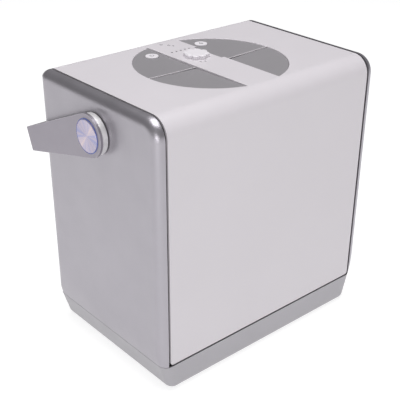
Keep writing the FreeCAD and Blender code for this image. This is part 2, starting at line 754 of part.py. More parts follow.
def driver_board():
    z = 14.0
    parts = [rounded_block(-60, 25, -60, 45, z, z + 1.6, 3)]
    top = z + 1.4
    for x, y, dx, dy, dz in ((-40, -40, 14, 14, 12), (-15, -42, 10, 8, 9), (8, -20, 12, 10, 14)):
        parts.append(block(x, x + dx, y, y + dy, top, top + dz))
    for x in (-52, -44):
        parts.append(rod(3.2, x, 20, top, top + 12))
    parts.append(block(2, 24, 38, 44, top, 18.2))
    for x in (-56, 21):
        for y in (-56, 34):
            parts.append(rod(2.5, x, y, FOOT_H + TRAY_FLOOR, z + 0.2))
    return fuse(parts)


def heat_sink():
    parts = [block(-30, 0, -8, 26, 15.6, 18)]
    for i in range(7):
        x = -30 + i * 4.7
        parts.append(block(x, x + 1.6, -8, 26, 17.8, 34))
    return fuse(parts)


def power_board():
    z = 14.0
    parts = [rounded_block(44, 112, -88, -30, z, z + 1.6, 3)]
    top = z + 1.4
    parts.append(block(52, 76, -80, -56, top, top + 20))
    parts.append(rod(7, 92, -72, top, top + 20))
    parts.append(rod(5, 92, -50, top, top + 16))
    parts.append(block(54, 70, -48, -40, top, top + 12))
    for x in (50, 106):
        for y in (-84, -34):
            parts.append(rod(2.5, x, y, FOOT_H + TRAY_FLOOR, z + 0.2))
    return fuse(parts)


def inlet_body(grow):
    """The inlet's housing behind the tray's rear wall: a flat oval."""
    y0 = REAR_Y - 16
    y1 = REAR_Y + 0.6
    half = 7.0
    r = 6.0 + grow
    bar = block(INLET_X - half, INLET_X + half, y0, y1, INLET_Z - r, INLET_Z + r)
    ends = [y_rod(r, INLET_X + side * half, y0, y1, INLET_Z) for side in (-1, 1)]
    return fuse([bar] + ends)


def power_inlet():
    body = inlet_body(0)
    half = 7.0
    r = 4.4
    y0 = REAR_Y - 12
    y1 = REAR_Y + 2
    cavity = block(INLET_X - half, INLET_X + half, y0, y1, INLET_Z - r, INLET_Z + r)
    ends = [y_rod(r, INLET_X + side * half, y0, y1, INLET_Z) for side in (-1, 1)]
    body = body.cut(fuse([cavity] + ends))
    pins = [y_rod(1.2, INLET_X + side * 4.3, y0 - 1, REAR_Y - 3, INLET_Z) for side in (-1, 1)]
    return fuse([body] + pins)


# ---------------------------------------------------------------- air

def fan_housing():
    x0 = FAN_X - FAN_R - 6
    x1 = FAN_X + FAN_R + 3
    y0 = FAN_Y - FAN_R - 3
    y1 = FAN_Y + FAN_R + 3
    housing = rounded_block(x0, x1, y0, y1, FAN_Z0, FAN_Z1, 14)
    legs = [rod(3, x, y, FOOT_H + TRAY_FLOOR, FAN_Z0 + 1) for x in (x0 + 12, x1 - 8) for y in (y0 + 6, y1 - 6)]
    snout = x_rod(7, 56.5, 70, MIST_Y, AIR_Z)
    housing = fuse([housing, snout] + legs)
    housing = housing.cut(rod(FAN_R, FAN_X, FAN_Y, FAN_Z0 + 2, FAN_Z1 - 2))
    housing = housing.cut(rod(15, FAN_X, FAN_Y, FAN_Z0 - 1, FAN_Z0 + 3))
    return housing.cut(x_rod(5.5, 56, 80, MIST_Y, AIR_Z))


def fan_motor():
    motor = rod(MOTOR_R, FAN_X, FAN_Y, 72.4, FAN_Z1 - 2)
    return motor.cut(rod(1.55, FAN_X, FAN_Y, 72, 81))


def fan_shaft():
    return rod(1.5, FAN_X, FAN_Y, 70.2, 80)


def fan_impeller():
    cup = tube(CUP_R, CUP_R - 1.5, FAN_X, FAN_Y, 70, 84)
    nose = tube(CUP_R, 1.5, FAN_X, FAN_Y, 70, 71.6)
    plate = tube(IMPELLER_R, CUP_R - 1, FAN_X, FAN_Y, 82.5, 84)
    ring = tube(IMPELLER_R, IMPELLER_R - 3.5, FAN_X, FAN_Y, 66, 67.2)
    blades = []
    for i in range(BLADE_COUNT):
        blade = block(FAN_X + 18.5, FAN_X + IMPELLER_R - 0.2, FAN_Y - 0.45, FAN_Y + 0.45, 66.5, 83)
        blade.rotate(V(FAN_X + 21, FAN_Y, 0), Z_AXIS, 35)
        blade.rotate(V(FAN_X, FAN_Y, 0), Z_AXIS, 360.0 * i / BLADE_COUNT)
        blades.append(blade)
    return fuse([cup, nose, plate, ring] + blades)


def filter_holder():
    y0 = REAR_Y - 16.5
    y1 = REAR_Y - SHELL_T
    outer = block(-58, 58, y0, y1, 63, 160)
    opening = block(-55, 55, y0 + 1.5, y1 + 1, 66, 157)
    mouth = block(-51, 51, y0 - 1, y1 + 1, 70, 153)
    return outer.cut(opening).cut(mouth)


def air_filter():
    """A pleated pad between the rear slots and the blower."""
    y0 = REAR_Y - 14.8
    y1 = REAR_Y - SHELL_T - 0.5
    pleats = 22
    pitch = 109.0 / pleats
    points = []
    for i in range(pleats + 1):
        points.append(V(-54.5 + pitch * i, y0 if i % 2 else y1 - 2.2, 66.5))
    for point in reversed(points[:]):
        points.append(V(point.x, point.y + 2.0, point.z))
    face = Part.Face(Part.makePolygon(points + [points[0]]))
    return face.extrude(V(0, 0, 90))


# ---------------------------------------------------------------- handle

def handle_point(along, across):
    """A point of the handle at rest: along the arm from the pivot, and across it, upwards."""
    y = PIVOT_Y + along * math.cos(HANDLE_DROP) + across * math.sin(HANDLE_DROP)
    z = PIVOT_Z - along * math.sin(HANDLE_DROP) + across * math.cos(HANDLE_DROP)
    return V(0, y, z)


def arm_shoulder():
    """Where the arm's straight edge leaves its round end: along the arm and across it."""
    slope = math.asin((HUB_R - BAR_W / 2) / ARM_LENGTH)
    return HUB_R * math.sin(slope), HUB_R * math.cos(slope)


def arm_half_width(along):
    start, wide = arm_shoulder()
    return wide + (BAR_W / 2 - wide) * (along - start) / (ARM_LENGTH - start)


def arm(x0, x1):
    """A flat arm: a round end on the pivot, narrowing to the bar."""
    along, across = arm_shoulder()
    top = handle_point(along, across)
    bottom = handle_point(along, -across)
    far_top = handle_point(ARM_LENGTH, BAR_W / 2)
    far_bottom = handle_point(ARM_LENGTH, -BAR_W / 2)
    edges = [
        Part.Arc(top, handle_point(-HUB_R, 0), bottom).toShape(),
        Part.makeLine(bottom, far_bottom),
        Part.makeLine(far_bottom, far_top),
        Part.makeLine(far_top, top),
    ]
    face = Part.Face(Part.Wire(edges))
    face.translate(V(x0, 0, 0))
    return face.extrude(V(x1 - x0, 0, 0))


def handle_bar(half_length):
    """The bar behind the box, as wide as the arms' ends."""
    near = ARM_LENGTH - ARM_T
    wide = arm_half_width(near)
    half = BAR_W / 2
    corners = [
        handle_point(near, -wide),
        handle_point(ARM_LENGTH, -half),
        handle_point(ARM_LENGTH, half),
        handle_point(near, wide),
    ]
    face = Part.Face(Part.makePolygon(corners + [corners[0]]))
    face.translate(V(-half_length, 0, 0))
    return face.extrude(V(2 * half_length, 0, 0))


def carry_handle():
    """Two flat arms joined by a bar behind the box, bent from one strip."""
    inner_x = BODY_W / 2 + ARM_GAP
    outer_x = inner_x + ARM_T
    strip = fuse([arm(-outer_x, -inner_x), arm(inner_x, outer_x), handle_bar(outer_x)])
    strip = round_edges(strip, BEND_R, lambda e: is_bend(e, outer_x))
    return strip.cut(x_rod(PIN_R, -outer_x - 1, outer_x + 1, PIVOT_Y, PIVOT_Z))


def is_bend(edge, outer_x):
    """The two outer corners where the arms turn into the bar."""
    at_side = abs(abs(edge.BoundBox.Center.x) - outer_x) < 0.01 and edge.BoundBox.XLength < 0.01
    far = handle_point(ARM_LENGTH, 0)
    direction = V(0, math.cos(HANDLE_DROP), -math.sin(HANDLE_DROP))
    ends = [vertex.Point for vertex in edge.Vertexes]
    return at_side and all(abs((end - far).dot(direction)) < 0.01 for end in ends)


def left_hub_spacer():
    x1 = -BODY_W / 2
    cup = x_rod(SPACER_R, x1 - SPACER_T, x1 - SPACER_NECK, PIVOT_Y, PIVOT_Z)
    cup = round_edges(cup, 0.5, lambda e: e.BoundBox.XLength < 0.01)
    neck = x_rod(SPACER_NECK_R, x1 - SPACER_NECK - 0.5, x1, PIVOT_Y, PIVOT_Z)
    return fuse([cup, neck]).cut(x_rod(PIN_R + 0.3, x1 - 10, x1 + 1, PIVOT_Y, PIVOT_Z))


def left_pivot_pin():
    """The pin is fixed in the arm and turns in the bush; a groove near its end takes the clip."""
    outer_x = BODY_W / 2 + ARM_GAP + ARM_T
    pin = x_rod(PIN_R, -outer_x + 0.4, -FRAME_X0 + 8, PIVOT_Y, PIVOT_Z)
    groove = x_rod(PIN_R + 1, CLIP_X, CLIP_X + CLIP_T, PIVOT_Y, PIVOT_Z)
    core = x_rod(PIN_R - 1, CLIP_X - 1, CLIP_X + CLIP_T + 1, PIVOT_Y, PIVOT_Z)
    return pin.cut(groove.cut(core))


def left_pin_clip():
    clip = x_rod(8.5, CLIP_X, CLIP_X + CLIP_T, PIVOT_Y, PIVOT_Z)
    clip = clip.cut(x_rod(PIN_R - 1, CLIP_X - 1, CLIP_X + CLIP_T + 1, PIVOT_Y, PIVOT_Z))
    gap = block(CLIP_X - 1, CLIP_X + CLIP_T + 1, PIVOT_Y - 3.4, PIVOT_Y + 3.4, PIVOT_Z - 10, PIVOT_Z)
    return clip.cut(gap)


def left_pivot_bush():
    """A flanged bush, pressed into the side frame's boss."""
    barrel = x_rod(8, -FRAME_X1 - 4, -FRAME_X0, PIVOT_Y, PIVOT_Z)
    flange = x_rod(11, -FRAME_X0, -FRAME_X0 + 2, PIVOT_Y, PIVOT_Z)
    bush = fuse([barrel, flange])
    return bush.cut(x_rod(PIN_R + RUNNING, -FRAME_X1 - 5, -FRAME_X0 + 3, PIVOT_Y, PIVOT_Z))


def left_hub_disc():
    """The turned metal disc on the arm's round end, slightly dished."""
    face_x = -(BODY_W / 2 + ARM_GAP + ARM_T)
    disc = x_rod(DISC_R, face_x - 1.0, face_x, PIVOT_Y, PIVOT_Z)
    ball_r = 260.0
    return disc.cut(Part.makeSphere(ball_r, V(face_x - 0.45 - ball_r, PIVOT_Y, PIVOT_Z)))


def left_light_ring():
    """The narrow light ring around the disc."""
    face_x = -(BODY_W / 2 + ARM_GAP + ARM_T)
    ring = x_rod(RING_R, face_x - 0.8, face_x, PIVOT_Y, PIVOT_Z)
    return ring.cut(x_rod(DISC_R, face_x - 2, face_x + 1, PIVOT_Y, PIVOT_Z))


# ---------------------------------------------------------------- export

def both_sides(nodes, name, shape):
    nodes["left_" + name] = shape
    nodes["right_" + name] = mirrored(shape)


def all_nodes():
    nodes = {
        "base_tray": base_tray(),
        "rubber_feet": rubber_feet(),
        "front_top_shell": front_top_shell(),
        "rear_cover": rear_cover(),
        "seal_strips": seal_strips(),
        "rear_screws": rear_screws(),
        "base_screws": base_screws(),
        "top_deck": top_deck(),
        "power_button": push_button(-1),
        "mode_button": push_button(1),
        "control_board": control_board(),
        "indicator_lenses": indicator_lenses(),
        "control_ribbon": control_ribbon(),
        "mist_nozzle": mist_nozzle(),
        "mist_duct": mist_duct(),
        "duct_gasket": duct_gasket(),
        "mist_hood": mist_hood(),
        "air_duct": air_duct(),
        "water_tank": water_tank(),
        "tank_cover": tank_cover(),
        "tank_tube": tank_tube(),
        "fill_funnels": fill_funnels(),
        "lid_pins": lid_pins(),
        "valve_seat": valve_seat(),
        "water_basin": water_basin(),
        "float_valve": float_valve(),
        "transducer": transducer(),
        "transducer_seal": transducer_seal(),
        "retaining_ring": retaining_ring(),
        "driver_board": driver_board(),
        "heat_sink": heat_sink(),
        "power_board": power_board(),
        "power_inlet": power_inlet(),
        "fan_housing": fan_housing(),
        "fan_motor": fan_motor(),
        "fan_shaft": fan_shaft(),
        "fan_impeller": fan_impeller(),
        "filter_holder": filter_holder(),
        "air_filter": air_filter(),
        "carry_handle": carry_handle(),
    }
    for side, word in ((-1, "left"), (1, "right")):
        nodes["rear_" + word + "_inlay"] = rear_inlay(side)
        nodes[word + "_fill_lid"] = fill_lid(side)
    both_sides(nodes, "side_panel", left_side_panel())
    both_sides(nodes, "side_frame", left_side_frame())
    both_sides(nodes, "hub_spacer", left_hub_spacer())
    both_sides(nodes, "pivot_pin", left_pivot_pin())
    both_sides(nodes, "pin_clip", left_pin_clip())
    both_sides(nodes, "pivot_bush", left_pivot_bush())
    both_sides(nodes, "hub_disc", left_hub_disc())
    both_sides(nodes, "light_ring", left_light_ring())
    return nodes


def main():
    os.makedirs("parts", exist_ok=True)
    for name, shape in all_nodes().items():
        placed = shape.copy()
        placed.translate(V(0, BODY_Y, 0))
        placed.exportStep("parts/" + name + ".step")


main()
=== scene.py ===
import json
import math

import bmesh
import bpy
from mathutils import Matrix, Vector


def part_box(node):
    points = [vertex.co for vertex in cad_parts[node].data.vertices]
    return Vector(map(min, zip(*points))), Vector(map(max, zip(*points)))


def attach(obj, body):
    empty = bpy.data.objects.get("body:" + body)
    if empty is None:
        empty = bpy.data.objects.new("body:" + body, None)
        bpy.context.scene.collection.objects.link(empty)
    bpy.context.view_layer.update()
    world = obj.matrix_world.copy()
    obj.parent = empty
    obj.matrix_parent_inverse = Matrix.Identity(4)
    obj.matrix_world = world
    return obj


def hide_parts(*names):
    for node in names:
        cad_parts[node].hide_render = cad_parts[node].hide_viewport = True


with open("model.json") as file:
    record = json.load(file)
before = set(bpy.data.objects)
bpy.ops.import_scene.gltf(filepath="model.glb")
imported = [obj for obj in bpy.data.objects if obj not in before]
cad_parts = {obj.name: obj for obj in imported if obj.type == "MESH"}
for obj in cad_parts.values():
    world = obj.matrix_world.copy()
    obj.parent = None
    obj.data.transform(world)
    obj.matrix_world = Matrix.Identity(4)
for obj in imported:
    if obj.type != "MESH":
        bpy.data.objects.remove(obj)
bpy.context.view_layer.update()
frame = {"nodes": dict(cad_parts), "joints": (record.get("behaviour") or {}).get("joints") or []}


# ---------------------------------------------------------------- materials

def new_material(name):
    mat = bpy.data.materials.new(name)
    mat.use_nodes = True
    tree = mat.node_tree
    return mat, tree, tree.nodes["Principled BSDF"]


def link(tree, a, out, b, into):
    tree.links.new(a.outputs[out], b.inputs[into])


def noise(tree, coord, scale, detail=2.0, rough=0.5, stretch=None):
    """Noise in object space; stretch squeezes it along one axis into streaks."""
    source = coord
    out = "Object"
    if stretch is not None:
        mapping = tree.nodes.new("ShaderNodeMapping")
        mapping.inputs["Scale"].default_value = stretch
        link(tree, coord, "Object", mapping, "Vector")
        source = mapping
        out = "Vector"
    tex = tree.nodes.new("ShaderNodeTexNoise")
    tex.inputs["Scale"].default_value = scale
    tex.inputs["Detail"].default_value = detail
    tex.inputs["Roughness"].default_value = rough
    tree.links.new(source.outputs[out], tex.inputs["Vector"])
    return tex


def spread(tree, tex, low, high):
    """Noise mapped to a range of values."""
    ramp = tree.nodes.new("ShaderNodeMapRange")
    ramp.inputs["From Min"].default_value = 0.25
    ramp.inputs["From Max"].default_value = 0.75
    ramp.inputs["To Min"].default_value = low
    ramp.inputs["To Max"].default_value = high
    link(tree, tex, "Fac", ramp, "Value")
    return ramp


def edge_mask(tree, radius, low, high):
    """1 along sharp outer edges, 0 on the flats."""
    geometry = tree.nodes.new("ShaderNodeNewGeometry")
    bevel = tree.nodes.new("ShaderNodeBevel")
    bevel.samples = 6
    bevel.inputs["Radius"].default_value = radius
    dot = tree.nodes.new("ShaderNodeVectorMath")
    dot.operation = "DOT_PRODUCT"
    link(tree, bevel, "Normal", dot, 0)
    link(tree, geometry, "Normal", dot, 1)
    ramp = tree.nodes.new("ShaderNodeMapRange")
    ramp.inputs["From Min"].default_value = high
    ramp.inputs["From Max"].default_value = low
    link(tree, dot, "Value", ramp, "Value")
    return ramp


def surface(name, color, rough, metallic=0.0, tint=0.03, cloud=9.0, rough_spread=0.05, grain=1400.0,
            bump=0.15, depth=0.00004, stretch=None, edge_wear_and_highlight=0.25, edge_wear_and_highlight_color=None, coat=0.0, coat_rough=0.2,
            specular=0.5, sheen=0.0, wear_radius=0.0009):
    """A moulded, painted or brushed finish with colour and gloss variation, fine grain, and lightened
    edges: real wear on most finishes, and a painted highlight on the handle.
    """
    mat, tree, shader = new_material(name)
    coord = tree.nodes.new("ShaderNodeTexCoord")
    broad = noise(tree, coord, cloud, 3.0)
    shade = spread(tree, broad, 1.0 - tint, 1.0 + tint)
    base = tree.nodes.new("ShaderNodeMix")
    base.data_type = "RGBA"
    base.blend_type = "MULTIPLY"
    base.inputs["Factor"].default_value = 1.0
    base.inputs["A"].default_value = (*color, 1.0)
    tree.links.new(shade.outputs["Result"], base.inputs["B"])
    edge = edge_mask(tree, wear_radius, 0.90, 0.995)
    grit = noise(tree, coord, 260.0, 4.0, 0.65)
    patch = spread(tree, grit, 0.0, edge_wear_and_highlight)
    amount = tree.nodes.new("ShaderNodeMath")
    amount.operation = "MULTIPLY"
    link(tree, edge, "Result", amount, 0)
    link(tree, patch, "Result", amount, 1)
    # Edges mixed towards a lighter colour: wear on most finishes, and a painted highlight where the edge
    # colour is near white, as on the handle.
    worn_and_lit_edges = tree.nodes.new("ShaderNodeMix")
    worn_and_lit_edges.data_type = "RGBA"
    tree.links.new(amount.outputs["Value"], worn_and_lit_edges.inputs["Factor"])
    tree.links.new(base.outputs["Result"], worn_and_lit_edges.inputs["A"])
    brighter = edge_wear_and_highlight_color or tuple(min(1.0, c * 1.25 + 0.02) for c in color)
    worn_and_lit_edges.inputs["B"].default_value = (*brighter, 1.0)
    tree.links.new(worn_and_lit_edges.outputs["Result"], shader.inputs["Base Color"])
    fine = noise(tree, coord, grain, 2.0, 0.55, stretch)
    smudge = noise(tree, coord, 38.0, 5.0, 0.6)
    gloss = spread(tree, smudge, rough - rough_spread, rough + rough_spread)
    link(tree, gloss, "Result", shader, "Roughness")
    height = tree.nodes.new("ShaderNodeBump")
    height.inputs["Strength"].default_value = bump
    height.inputs["Distance"].default_value = depth
    link(tree, fine, "Fac", height, "Height")
    link(tree, height, "Normal", shader, "Normal")
    shader.inputs["Metallic"].default_value = metallic
    shader.inputs["Specular IOR Level"].default_value = specular
    shader.inputs["Coat Weight"].default_value = coat
    shader.inputs["Coat Roughness"].default_value = coat_rough
    shader.inputs["Sheen Weight"].default_value = sheen
    return mat


WHITE = surface("white_moulding", (0.695, 0.662, 0.698), 0.36, tint=0.012, rough_spread=0.05, grain=2200,
                bump=0.10, depth=0.00003, edge_wear_and_highlight=0.3)
WHITE_CAP = surface("white_cap_moulding", (0.83, 0.80, 0.84), 0.33, tint=0.012, grain=2400, bump=0.08,
                    edge_wear_and_highlight=0.3)
SILVER = surface("silver_paint", (0.415, 0.397, 0.433), 0.38, metallic=0.85, tint=0.02, grain=5200,
                 bump=0.22, depth=0.00002, edge_wear_and_highlight=0.22)
SILVER_BASE = surface("silver_moulding", (0.405, 0.393, 0.418), 0.42, metallic=0.6, tint=0.025,
                      grain=3600, bump=0.2, depth=0.00003, edge_wear_and_highlight=0.25)
GREY = surface("grey_insert", (0.315, 0.302, 0.320), 0.42, metallic=0.15, tint=0.03, grain=3600, bump=0.25,
               depth=0.00003, edge_wear_and_highlight=0.3)
# The handle's near-white edge colour and strong edge amount paint the highlight along the bright rim of
# the plate.
HANDLE = surface("anodised_strip", (0.325, 0.302, 0.345), 0.36, metallic=0.6, tint=0.02, grain=1600,
                 bump=0.12, depth=0.00002, edge_wear_and_highlight=0.7, edge_wear_and_highlight_color=(0.86, 0.85, 0.88))
DARK = surface("dark_moulding", (0.022, 0.022, 0.025), 0.48, tint=0.08, grain=1500, bump=0.3, edge_wear_and_highlight=0.25)
SPACER = surface("hub_cup", (0.80, 0.79, 0.80), 0.34, metallic=0.35, tint=0.03, grain=1800, bump=0.15,
                 edge_wear_and_highlight=0.3)
BASIN = surface("basin_moulding", (0.46, 0.48, 0.50), 0.42, tint=0.03, grain=1500, bump=0.25, edge_wear_and_highlight=0.25)
RUBBER = surface("black_rubber", (0.02, 0.02, 0.02), 0.72, tint=0.1, grain=900, bump=0.5, depth=0.00006,
                 edge_wear_and_highlight=0.2)
SILICONE = surface("pale_silicone", (0.42, 0.42, 0.40), 0.60, tint=0.05, grain=900, bump=0.3, edge_wear_and_highlight=0.15)
STEEL = surface("plated_steel", (0.52, 0.52, 0.53), 0.30, metallic=1.0, tint=0.06, grain=900, bump=0.3,
                depth=0.00003, edge_wear_and_highlight=0.4, edge_wear_and_highlight_color=(0.75, 0.75, 0.76))
BUSH = surface("bush_moulding", (0.62, 0.60, 0.53), 0.45, tint=0.04, grain=1200, bump=0.2)
SINK = surface("extruded_aluminium", (0.55, 0.55, 0.57), 0.34, metallic=1.0, grain=700, bump=0.3,
               stretch=(1.0, 0.08, 1.0))
BOARD = surface("solder_mask", (0.012, 0.12, 0.045), 0.32, tint=0.12, cloud=160, grain=900, bump=0.3,
                coat=0.4)
CERAMIC = surface("plated_ceramic", (0.55, 0.52, 0.42), 0.28, metallic=0.7, grain=900, bump=0.3)
MOTOR = surface("motor_can", (0.05, 0.05, 0.055), 0.35, metallic=0.6, grain=900, bump=0.3)
FILTER = surface("pleated_fibre", (0.60, 0.60, 0.57), 0.85, tint=0.08, grain=700, bump=0.8, depth=0.0001,
                 sheen=0.3)
RIBBON = surface("flat_cable", (0.32, 0.32, 0.33), 0.42, grain=900, bump=0.4, stretch=(12.0, 0.4, 0.4))
LENS = surface("dark_lens", (0.008, 0.008, 0.011), 0.45, tint=0.1, grain=1200, bump=0.05, specular=0.12)
MARK = surface("printed_grey", (0.10, 0.095, 0.11), 0.50, tint=0.06, grain=2600, bump=0.3)


def tank_material():
    """Translucent blue-grey plastic with faint flow lines."""
    mat = surface("translucent_tank", (0.55, 0.66, 0.74), 0.22, tint=0.04, grain=300, bump=0.12,
                  depth=0.00008)
    shader = mat.node_tree.nodes["Principled BSDF"]
    shader.inputs["Transmission Weight"].default_value = 0.55
    shader.inputs["IOR"].default_value = 1.49
    return mat


def ring_material():
    """The light ring: a milky blue light guide, unlit."""
    mat = surface("light_guide", (0.10, 0.125, 0.38), 0.22, tint=0.10, cloud=60, grain=900, bump=0.06,
                  coat=0.7, coat_rough=0.08, edge_wear_and_highlight=0.35, edge_wear_and_highlight_color=(0.50, 0.52, 0.66))
    shader = mat.node_tree.nodes["Principled BSDF"]
    shader.inputs["Subsurface Weight"].default_value = 0.15
    shader.inputs["Subsurface Scale"].default_value = 0.002
    return mat


def spun_material():
    """Turned metal: concentric tool marks and radial anisotropy, with two fans of highlight painted into
    the base colour.
    """
    mat, tree, shader = new_material("spun_metal")
    coord = tree.nodes.new("ShaderNodeTexCoord")
    parts = tree.nodes.new("ShaderNodeSeparateXYZ")
    link(tree, coord, "Object", parts, "Vector")
    flat = tree.nodes.new("ShaderNodeCombineXYZ")
    link(tree, parts, "Y", flat, "X")
    link(tree, parts, "Z", flat, "Y")
    shift = tree.nodes.new("ShaderNodeVectorMath")
    shift.operation = "SUBTRACT"
    shift.inputs[1].default_value = (PIVOT.y, PIVOT.z, 0.0)
    link(tree, flat, "Vector", shift, 0)
    length = tree.nodes.new("ShaderNodeVectorMath")
    length.operation = "LENGTH"
    link(tree, shift, "Vector", length, 0)
    grooves = tree.nodes.new("ShaderNodeTexNoise")
    grooves.noise_dimensions = "1D"
    grooves.inputs["Scale"].default_value = 5200.0
    grooves.inputs["Detail"].default_value = 3.0
    link(tree, length, "Value", grooves, "W")
    ramp = spread(tree, grooves, 0.24, 0.34)
    link(tree, ramp, "Result", shader, "Roughness")
    # Base colour swept between lavender and pink in two lobes around the centre: a painted highlight for
    # the fan-shaped reflections of the turned face.
    turn = tree.nodes.new("ShaderNodeMath")
    turn.operation = "ARCTAN2"
    spot = tree.nodes.new("ShaderNodeSeparateXYZ")
    link(tree, shift, "Vector", spot, "Vector")
    link(tree, spot, "Y", turn, 0)
    link(tree, spot, "X", turn, 1)
    fan_highlight_noise = tree.nodes.new("ShaderNodeTexNoise")
    fan_highlight_noise.noise_dimensions = "2D"
    fan_highlight_noise.inputs["Scale"].default_value = 1.5
    fan_highlight_noise.inputs["Detail"].default_value = 3.0
    wheel = tree.nodes.new("ShaderNodeCombineXYZ")
    for function, into in (("SINE", "X"), ("COSINE", "Y")):
        wave = tree.nodes.new("ShaderNodeMath")
        wave.operation = function
        double = tree.nodes.new("ShaderNodeMath")
        double.operation = "MULTIPLY"
        double.inputs[1].default_value = 2.0
        link(tree, turn, "Value", double, 0)
        link(tree, double, "Value", wave, 0)
        link(tree, wave, "Value", wheel, into)
    link(tree, wheel, "Vector", fan_highlight_noise, "Vector")
    painted_fan_highlight = spread(tree, fan_highlight_noise, 0.0, 1.0)
    colour = tree.nodes.new("ShaderNodeMix")
    colour.data_type = "RGBA"
    colour.inputs["A"].default_value = (0.36, 0.37, 0.58, 1.0)
    colour.inputs["B"].default_value = (0.64, 0.54, 0.56, 1.0)
    link(tree, painted_fan_highlight, "Result", colour, "Factor")
    tree.links.new(colour.outputs["Result"], shader.inputs["Base Color"])
    height = tree.nodes.new("ShaderNodeBump")
    height.inputs["Strength"].default_value = 0.25
    height.inputs["Distance"].default_value = 0.00003
    link(tree, grooves, "Fac", height, "Height")
    link(tree, height, "Normal", shader, "Normal")
    tangent = tree.nodes.new("ShaderNodeTangent")
    tangent.direction_type = "RADIAL"
    tangent.axis = "X"
    link(tree, tangent, "Tangent", shader, "Tangent")
    shader.inputs["Metallic"].default_value = 1.0
    shader.inputs["Anisotropic"].default_value = 0.8
    return mat


# ---------------------------------------------------------------- places, from the frame

def joint(name):
    return next(j for j in frame["joints"] if j["name"] == name)


PIVOT = Vector(joint("handle_swing")["pos_m"])
BODY_Y = (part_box("front_top_shell")[0].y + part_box("rear_cover")[1].y) / 2


# ---------------------------------------------------------------- mesh helpers

def add_object(name, mesh, material, body):
    obj = bpy.data.objects.new(name, mesh)
    bpy.context.scene.collection.objects.link(obj)
    mesh.materials.append(material)
    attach(obj, body)
    return obj


def mesh_from(bm, name, smooth_below=math.radians(32)):
    mesh = bpy.data.meshes.new(name)
    bmesh.ops.recalc_face_normals(bm, faces=bm.faces)
    bm.to_mesh(mesh)
    bm.free()
    mesh.polygons.foreach_set("use_smooth", [True] * len(mesh.polygons))
    mesh.set_sharp_from_angle(angle=smooth_below)
    return mesh


def lathe(profile, place, steps=96):
    """A closed profile of (radius, height) points turned about Z, then put in place by a matrix."""
    bm = bmesh.new()
    rings = []
    for radius, height in profile:
        if radius < 1e-6:
            rings.append([bm.verts.new(place @ Vector((0, 0, height)))])
            continue
        ring = []
        for i in range(steps):
            a = 2 * math.pi * i / steps
            ring.append(bm.verts.new(place @ Vector((radius * math.cos(a), radius * math.sin(a), height))))
        rings.append(ring)
    for low, high in zip(rings, rings[1:]):
        join_rings(bm, low, high)
    if len(rings[0]) > 1 and len(rings[-1]) > 1:
        join_rings(bm, rings[-1], rings[0])
    return bm


def join_rings(bm, low, high):
    count = max(len(low), len(high))
    for i in range(count):
        k = (i + 1) % count
        corners = [low[i % len(low)], low[k % len(low)], high[k % len(high)], high[i % len(high)]]
        unique = []
        for vert in corners:
            if vert not in unique:
                unique.append(vert)
        if len(unique) > 2:
            bm.faces.new(unique)


def outward(side, x):
    """Puts a turned piece on a hub, its axis pointing out of the box's side."""
    return Matrix.Translation((x, PIVOT.y, PIVOT.z)) @ Matrix.Rotation(side * math.pi / 2, 4, "Y")


# ---------------------------------------------------------------- CAD nodes: better finishes

TANK = tank_material()
FINISHES = {
    "base_tray": SILVER_BASE, "rubber_feet": RUBBER, "front_top_shell": WHITE, "rear_cover": WHITE,
    "seal_strips": DARK, "base_screws": STEEL, "rear_screws": STEEL, "top_deck": DARK,
    "control_board": BOARD,
    "power_button": WHITE_CAP, "mode_button": WHITE_CAP,
    "indicator_lenses": LENS, "control_ribbon": RIBBON, "mist_nozzle": WHITE_CAP, "mist_duct": BASIN,
    "duct_gasket": SILICONE, "mist_hood": BASIN, "air_duct": DARK, "water_tank": TANK,
    "valve_seat": SILICONE, "water_basin": BASIN, "float_valve": WHITE_CAP, "transducer": CERAMIC,
    "transducer_seal": SILICONE, "retaining_ring": STEEL, "driver_board": BOARD, "heat_sink": SINK,
    "power_board": BOARD, "power_inlet": DARK, "fan_housing": DARK, "fan_motor": MOTOR, "fan_shaft": STEEL,
    "fan_impeller": DARK, "filter_holder": DARK, "air_filter": FILTER, "carry_handle": HANDLE,
    "rear_left_inlay": GREY, "rear_right_inlay": GREY, "left_fill_lid": GREY, "right_fill_lid": GREY,
    "lid_pins": STEEL, "tank_cover": TANK, "tank_tube": TANK, "fill_funnels": TANK,
}
for side in ("left", "right"):
    FINISHES[side + "_side_panel"] = SILVER
    FINISHES[side + "_side_frame"] = DARK
    FINISHES[side + "_hub_spacer"] = SPACER
    FINISHES[side + "_pivot_pin"] = STEEL
    FINISHES[side + "_pin_clip"] = STEEL
    FINISHES[side + "_pivot_bush"] = BUSH

for node, material in FINISHES.items():
    obj = frame["nodes"][node]
    obj.data.materials.clear()
    obj.data.materials.append(material)


# ---------------------------------------------------------------- hubs: turned disc and light ring

DISC_EDGE = 0.0003
DISC_HOLLOW = 0.00045


def hub_disc(side, word):
    low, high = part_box(word + "_hub_disc")
    base = min(abs(low.x), abs(high.x))
    top = max(abs(low.x), abs(high.x)) - base
    r = (high.z - low.z) / 2
    profile = [(0.0, 0.0), (r, 0.0), (r, top - DISC_EDGE), (r - DISC_EDGE, top)]
    for i in range(1, 24):
        u = 1 - i / 24
        profile.append(((r - DISC_EDGE) * u, top - DISC_HOLLOW * (1 - u * u)))
    profile.append((0.0, top - DISC_HOLLOW))
    bm = lathe(profile, outward(side, side * base), 128)
    obj = add_object(word + "_spun_disc", mesh_from(bm, word + "_spun_disc"), SPUN, "handle")
    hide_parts(word + "_hub_disc")


